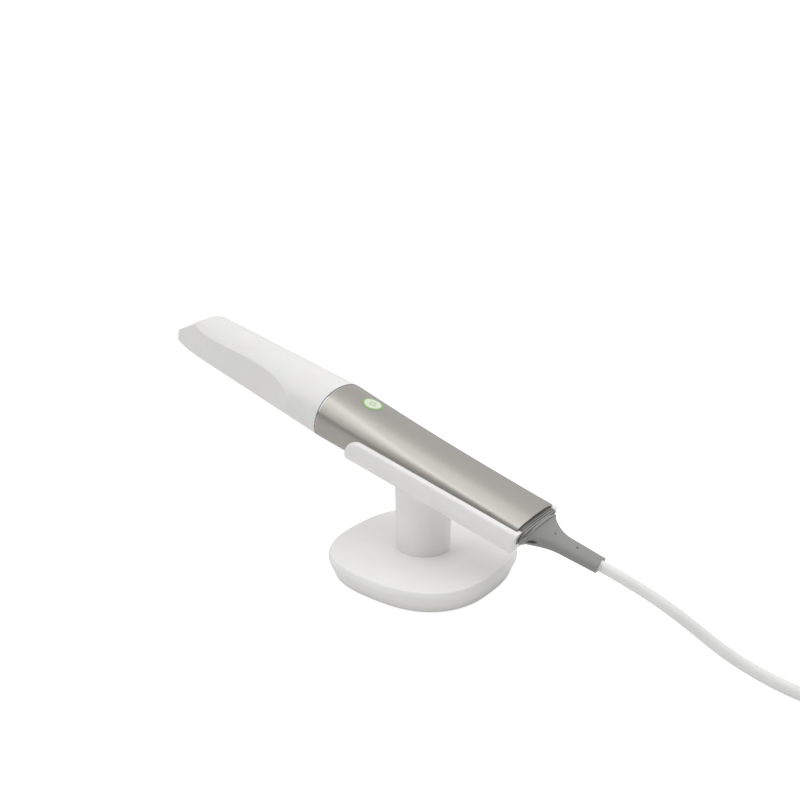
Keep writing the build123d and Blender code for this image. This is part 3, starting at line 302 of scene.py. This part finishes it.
bpy.ops.mesh.primitive_plane_add(size=FLOOR_SIZE, location=(0, 0, 0))
floor = bpy.context.object
floor.name = "floor"
floor_paint = bpy.data.materials.new("floor_paint")
floor_nodes, floor_links = node_tree(floor_paint)
bounce = floor_nodes.new("ShaderNodeBsdfDiffuse")
bounce.inputs["Color"].default_value = FLOOR_BOUNCE
sheet = floor_nodes.new("ShaderNodeBsdfPrincipled")
sheet.inputs["Base Color"].default_value = FLOOR_GREY
sheet.inputs["Roughness"].default_value = 0.9
sheet.inputs["Specular IOR Level"].default_value = 0.0
sheet.inputs["Emission Color"].default_value = WHITE
sheet.inputs["Emission Strength"].default_value = FLOOR_GLOW
floor_path = floor_nodes.new("ShaderNodeLightPath")
floor_mix = floor_nodes.new("ShaderNodeMixShader")
floor_out = floor_nodes.new("ShaderNodeOutputMaterial")
floor_links.new(floor_path.outputs["Is Camera Ray"], floor_mix.inputs[0])
floor_links.new(bounce.outputs[0], floor_mix.inputs[1])
floor_links.new(sheet.outputs[0], floor_mix.inputs[2])
floor_links.new(floor_mix.outputs[0], floor_out.inputs["Surface"])
floor.data.materials.append(floor_paint)
print("floor is", round(floor.dimensions.x), "m wide")

# %% [markdown]
# ## What all finishes share
#
# No real surface is one flat colour. Each finish below starts from one shader and adds what the
# eye expects at that scale: the fine grain of a mould or of blasted metal as bump and as uneven
# gloss, and a broad, faint cloudiness of colour. The patterns are procedural and lie on the
# object's own coordinates, in metres, so a scale of 1000 is a pattern of about a millimetre.

# %% Write the finish helper
BUMP_STRENGTH = 0.35
GRAIN_DETAIL = 3.0
CLOUD_SCALE = 60.0
CLOUD_DETAIL = 2.0
LEAST_ROUGHNESS = 0.02

finishes = {}


def noise(made, scale, detail):
    """Noise texture with its scale and detail set."""
    texture = made.new("ShaderNodeTexNoise")
    texture.inputs["Scale"].default_value = scale
    texture.inputs["Detail"].default_value = detail
    return texture


def to_range(made, low, high):
    """Node that maps 0 to 1 onto low to high."""
    mapped = made.new("ShaderNodeMapRange")
    mapped.inputs["To Min"].default_value = low
    mapped.inputs["To Max"].default_value = high
    return mapped


def finish(name, colour, roughness, metallic=0.0, grain=2200.0, grain_depth=0.02, mottling=0.04,
           gloss_spread=0.06, stretch=(1.0, 1.0, 1.0), turn=0.0, **sockets):
    """Material with a fine grain, grain_depth in millimetres, and uneven colour and gloss."""
    material = bpy.data.materials.new(name)
    made, links = node_tree(material)
    shader = made.new("ShaderNodeBsdfPrincipled")
    shader.inputs["Metallic"].default_value = metallic
    for socket, value in sockets.items():
        shader.inputs[socket.replace("_", " ")].default_value = value
    coordinates = made.new("ShaderNodeTexCoord")
    mapping = made.new("ShaderNodeMapping")
    mapping.inputs["Scale"].default_value = stretch
    mapping.inputs["Rotation"].default_value = (0, turn, 0)
    links.new(coordinates.outputs["Object"], mapping.inputs["Vector"])
    fine = noise(made, grain, GRAIN_DETAIL)
    links.new(mapping.outputs[0], fine.inputs["Vector"])
    bump = made.new("ShaderNodeBump")
    bump.inputs["Strength"].default_value = BUMP_STRENGTH
    bump.inputs["Distance"].default_value = grain_depth / 1000
    links.new(fine.outputs["Fac"], bump.inputs["Height"])
    links.new(bump.outputs[0], shader.inputs["Normal"])
    cloud = noise(made, CLOUD_SCALE, CLOUD_DETAIL)
    links.new(coordinates.outputs["Object"], cloud.inputs["Vector"])
    shade = to_range(made, 1 - mottling, 1 + mottling)
    links.new(cloud.outputs["Fac"], shade.inputs["Value"])
    tint = made.new("ShaderNodeMix")
    tint.data_type = "RGBA"
    tint.blend_type = "MULTIPLY"
    tint.inputs["Factor"].default_value = 1.0
    tint.inputs["A"].default_value = (*colour, 1)
    links.new(shade.outputs["Result"], tint.inputs["B"])
    links.new(tint.outputs["Result"], shader.inputs["Base Color"])
    gloss = to_range(made, max(roughness - gloss_spread, LEAST_ROUGHNESS), roughness + gloss_spread)
    links.new(fine.outputs["Fac"], gloss.inputs["Value"])
    links.new(gloss.outputs["Result"], shader.inputs["Roughness"])
    output = made.new("ShaderNodeOutputMaterial")
    links.new(shader.outputs[0], output.inputs["Surface"])
    finishes[name] = material
    return material


print("the clouds of colour are about", round(1000 / CLOUD_SCALE), "mm wide")

# %% [markdown]
# ## The stand
#
# Cradle, post and base cover are moulded in a warm white plastic with the satin grain of a
# spark-eroded mould. A paint-like gloss would show hard highlights, so the roughness is middling
# and varies. Inside lies a weight of cast iron with a coarse skin, a grey plate closes the
# underside, and a pad of black rubber keeps the stand from sliding.

# %% Finish the stand
finish("stand_white", (0.86, 0.855, 0.84), 0.42, grain=1800, grain_depth=0.03)
finish("weight_iron", (0.06, 0.06, 0.065), 0.75, grain=900, grain_depth=0.2)
finish("plate_grey", (0.30, 0.30, 0.30), 0.6)
finish("foot_rubber", (0.02, 0.02, 0.02), 0.85, grain=3000, grain_depth=0.05)
print("finishes so far:", len(finishes))

# %% [markdown]
# ## The mouth tip and its mirror
#
# The tip goes into the mouth and is sterilised with steam, so it is a dense, smooth white plastic
# without texture. Light enters it a little way before it comes back, which softens its edges: a
# small share of scattering under the surface gives that. The mirror in its end is metal on glass,
# nearly free of roughness.

# %% Finish the tip
finish("tip_white", (0.79, 0.788, 0.775), 0.36, grain=2600, grain_depth=0.015,
       Subsurface_Weight=0.15, Subsurface_Scale=0.002)
finish("mirror", (0.9, 0.92, 0.93), 0.03, metallic=1.0, grain=200, grain_depth=0.0, mottling=0.0,
       gloss_spread=0.01)
print("finishes so far:", len(finishes))

# %% [markdown]
# ## The metal sleeve and the trim ring
#
# The sleeve is a metal shell, blasted, brushed along its length and coloured a warm titanium grey.
# Its grain is finer than a pixel, so it shows as a soft blur of the reflections. The pattern is
# drawn out along the scanner and turned with it, as the brush lines are. The narrow ring at the
# seam to the tip is polished and plated, so it mirrors the room almost sharply.

# %% Finish the metal
TILT = radians(14.3)

finish("sleeve_titanium", (0.396, 0.379, 0.353), 0.33, metallic=1.0, grain=5200, grain_depth=0.012,
       mottling=0.02, gloss_spread=0.07, stretch=(0.12, 1, 1), turn=TILT)
finish("trim_chrome", (0.50, 0.50, 0.51), 0.12, metallic=1.0, grain=400, grain_depth=0.0,
       mottling=0.0, gloss_spread=0.02)
print("finishes so far:", len(finishes))

# %% [markdown]
# ## The nose under the tip
#
# The tip slides off and bares the nose. It is black so that no stray light reaches the cameras, and
# it ends in a pane of clear glass. A black rubber ring seals it to the tip. The glass gets most of
# its look from transmission, which the shader has built in, so no second shader is mixed in.

# %% Finish the nose
finish("nose_black", (0.012, 0.012, 0.013), 0.5)
finish("clear_glass", (0.95, 0.97, 0.97), 0.03, grain=300, grain_depth=0.0, mottling=0.0,
       gloss_spread=0.01, Transmission_Weight=0.9, IOR=1.5)
finish("seal_rubber", (0.015, 0.015, 0.015), 0.8)
print("finishes so far:", len(finishes))

# %% [markdown]
# ## The button and its ring of light
#
# The cap is a milky plastic, and a ring around it shines green when the scanner is ready. Real
# light under the plastic would need many samples to come out clean. A faint glow on the surfaces
# themselves does the same: pale on the cap, greener on the ring, and weak enough for daylight.

# %% Finish the button
finish("button_white", (0.62, 0.70, 0.54), 0.35, mottling=0.01,
       Emission_Color=(0.80, 1.0, 0.62, 1), Emission_Strength=0.06)
finish("ring_green", (0.26, 0.41, 0.15), 0.35, mottling=0.01,
       Emission_Color=(0.50, 1.0, 0.30, 1), Emission_Strength=0.04)
print("finishes so far:", len(finishes))

# %% [markdown]
# ## The parts inside
#
# Nobody sees these while the scanner is closed, but a reader who opens it should tell them apart:
# a circuit board under green lacquer, black chips, a milled aluminium bench, black camera and
# projector modules, and a grey lead. Plain plastic and metal with the common grain are enough.

# %% Finish the parts inside
finish("board_green", (0.01, 0.09, 0.03), 0.35, grain=900)
finish("chip_black", (0.015, 0.015, 0.015), 0.5)
finish("bench_aluminium", (0.62, 0.63, 0.64), 0.45, metallic=1.0)
finish("module_black", (0.02, 0.02, 0.022), 0.5)
finish("lead_grey", (0.25, 0.25, 0.25), 0.6)
print("finishes so far:", len(finishes))

# %% [markdown]
# ## The collar, the boot, the cable and the plug
#
# The ribbed collar is a hard grey plastic. The boot is a soft grey rubber that keeps the cable from
# kinking, with a coarser, matt grain. The cable's jacket is a smooth white plastic, the plug's
# housing a harder one, and its contact shell is bright steel, like the screws inside.

# %% Finish the rear end
finish("collar_grey", (0.28, 0.28, 0.27), 0.55)
finish("boot_grey", (0.275, 0.275, 0.267), 0.6, grain=1500, grain_depth=0.05)
finish("cable_white", (0.80, 0.80, 0.79), 0.45, grain=1500, grain_depth=0.02)
finish("plug_white", (0.78, 0.78, 0.77), 0.4)
finish("contact_steel", (0.75, 0.75, 0.76), 0.2, metallic=1.0)
finish("screw_steel", (0.5, 0.5, 0.52), 0.35, metallic=1.0)
print("finishes so far:", len(finishes))

# %% [markdown]
# ## Dressing the solids
#
# The engineering model names a material for each solid. Each finish above has one of those names,
# so the solids are dressed by name, and none is forgotten.

# %% Dress the solids
slot_of = {part["node"]: part["material_slot"] for part in frame["record"]["subparts"]}
for name, solid in nodes.items():
    solid.data.materials.clear()
    solid.data.materials.append(finishes[slot_of[name]])
white_cable.data.materials.append(finishes["cable_white"])
print("dressed", len(nodes), "solids and the cable in", len(finishes), "finishes")

# %% [markdown]
# ## The sign on the button
#
# The cap shows a faint grey power sign, a ring that is open at the top with a short bar in the
# gap. On the real scanner it is printed with a pad in a thin coat of ink. Here it is a line of
# half a millimetre that lies half sunk in the cap, so it needs no picture. It is drawn flat at
# the origin: a torus loses the part in the gap, its two ends are closed, and a slim rod is added
# for the bar.

# %% Draw the power sign
SIGN_RADIUS = 0.0019
SIGN_LINE = 0.00028             # half the thickness of the line
SIGN_GAP = radians(38)          # half the open sector of the ring
BAR_MIDDLE = 0.9 * SIGN_RADIUS

bpy.ops.object.select_all(action="DESELECT")
bpy.ops.mesh.primitive_torus_add(major_segments=60, minor_segments=8, major_radius=SIGN_RADIUS,
                                 minor_radius=SIGN_LINE, location=(0, 0, 0))
power_sign = bpy.context.object
power_sign.name = "power_sign"
bpy.ops.object.mode_set(mode="EDIT")
bpy.ops.mesh.select_all(action="DESELECT")
bpy.ops.object.mode_set(mode="OBJECT")
for vertex in power_sign.data.vertices:
    vertex.select = abs(atan2(vertex.co.y, vertex.co.x)) < SIGN_GAP
bpy.ops.object.mode_set(mode="EDIT")
bpy.ops.mesh.delete(type="VERT")
bpy.ops.mesh.select_all(action="SELECT")
bpy.ops.mesh.fill_holes(sides=0)
bpy.ops.mesh.primitive_cylinder_add(vertices=8, radius=SIGN_LINE, depth=SIGN_RADIUS,
                                    location=(BAR_MIDDLE, 0, 0), rotation=(0, pi / 2, 0))
bpy.ops.mesh.select_all(action="SELECT")
bpy.ops.mesh.normals_make_consistent(inside=False)
bpy.ops.object.mode_set(mode="OBJECT")
print("sign has", len(power_sign.data.polygons), "faces")

# %% [markdown]
# ## The sign's place
#
# The cap is part of the sleeve's curved top, so its surface is found rather than worked out: a ray
# runs along the button's own travel, from outside, and the sign is set square to it where it meets
# the cap. It rides on the button and goes down with it.

# %% Set the sign on the cap
RAY_START = 0.02

cap = nodes["button_cap"]
press = next(joint for joint in frame["joints"] if joint["name"] == "button_press")
outward = -Vector(press["axis"])
middle = sum((vertex.co for vertex in cap.data.vertices), Vector()) / len(cap.data.vertices)
met, sign_place, _, _ = cap.ray_cast(middle + RAY_START * outward, -outward)
power_sign.location = sign_place
power_sign.rotation_euler = outward.to_track_quat("Z", "Y").to_euler()
bpy.ops.object.transform_apply(location=True, rotation=True, scale=True)
bpy.ops.object.shade_smooth_by_angle(angle=radians(40))
power_sign.data.materials.append(finish("sign_grey", (0.52, 0.56, 0.50), 0.5, grain=3000))
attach(power_sign, "button")
print("ray met the cap:", met)
print("sign is at, mm", [round(1000 * value, 2) for value in sign_place])

# %% Close the lesson
bpy.context.view_layer.update()
